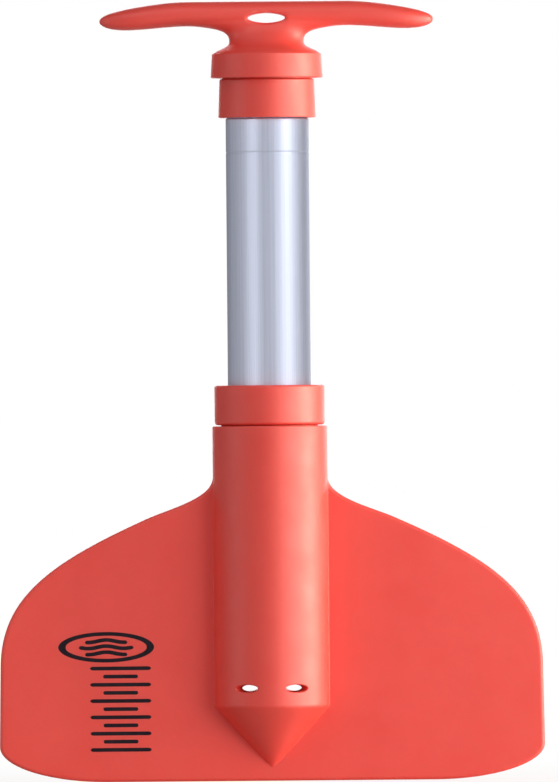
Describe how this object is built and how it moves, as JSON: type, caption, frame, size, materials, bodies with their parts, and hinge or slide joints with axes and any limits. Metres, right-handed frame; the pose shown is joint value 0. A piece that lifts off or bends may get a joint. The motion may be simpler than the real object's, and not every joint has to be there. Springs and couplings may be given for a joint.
{
  "type": "telescoping paddle",
  "caption": "Collapsible hand paddle: spade-shaped plastic blade on a round socket, twist-locking telescopic aluminium shaft and a plastic T grip.",
  "frame": {"origin": "on the shaft's axis, at the bottom edge of the blade", "axes": "+Z along the shaft from the blade to the T grip, +X along the blade's width and the grip, -Y out of the blade's front face; the grip's screw is on the +Y side"},
  "size_m": [0.2504, 0.0528, 0.358],
  "materials": {
    "orange_plastic": "satin",
    "tube_aluminium": "satin",
    "inner_aluminium": "satin",
    "steel": "satin",
    "nylon": "matte",
    "grey_nylon": "matte",
    "rubber": "matte",
    "foam": "matte"
  },
  "bodies": {
    "blade": {"blade": "orange_plastic", "tip_float": "foam", "socket_collar": "orange_plastic", "socket_wiper": "rubber"},
    "lower_bush": {"lower_bush": "nylon"},
    "outer_shaft": {"outer_tube": "tube_aluminium", "tube_collar": "orange_plastic", "tube_wiper": "rubber", "outer_plug": "grey_nylon", "outer_plug_pin": "steel", "outer_lock_washer": "steel", "outer_lock_screw": "steel"},
    "outer_lock_ring": {"outer_lock_ring": "nylon"},
    "upper_bush": {"upper_bush": "nylon"},
    "inner_shaft": {"inner_tube": "inner_aluminium", "t_grip": "orange_plastic", "grip_screw": "steel", "inner_plug": "grey_nylon", "inner_plug_pin": "steel", "inner_lock_washer": "steel", "inner_lock_screw": "steel", "shaft_float": "foam"},
    "inner_lock_ring": {"inner_lock_ring": "nylon"}
  },
  "joints": [
    {"name": "lower_twist", "type": "hinge", "parent": "blade", "child": "lower_bush", "pos_m": [0, 0, 0.1625], "axis": [0, 0, 1], "range_deg": [-55, 55]},
    {"name": "lower_slide", "type": "slide", "parent": "lower_bush", "child": "outer_shaft", "axis": [0, 0, 1], "range_m": [0, 0.087]},
    {"name": "outer_ring_turn", "type": "hinge", "parent": "outer_shaft", "child": "outer_lock_ring", "pos_m": [0.00055, 0, 0.0542], "axis": [0, 0, 1], "range_deg": [-55, 55]},
    {"name": "upper_twist", "type": "hinge", "parent": "outer_shaft", "child": "upper_bush", "pos_m": [0, 0, 0.3035], "axis": [0, 0, 1], "range_deg": [-55, 55]},
    {"name": "upper_slide", "type": "slide", "parent": "upper_bush", "child": "inner_shaft", "axis": [0, 0, 1], "range_m": [0, 0.191]},
    {"name": "inner_ring_turn", "type": "hinge", "parent": "inner_shaft", "child": "inner_lock_ring", "pos_m": [0.00055, 0, 0.0907], "axis": [0, 0, 1], "range_deg": [-55, 55]}
  ],
  "couplings": [
    {"joint": "outer_ring_turn", "follows": "lower_twist", "ratio": -1},
    {"joint": "inner_ring_turn", "follows": "upper_twist", "ratio": -1}
  ]
}
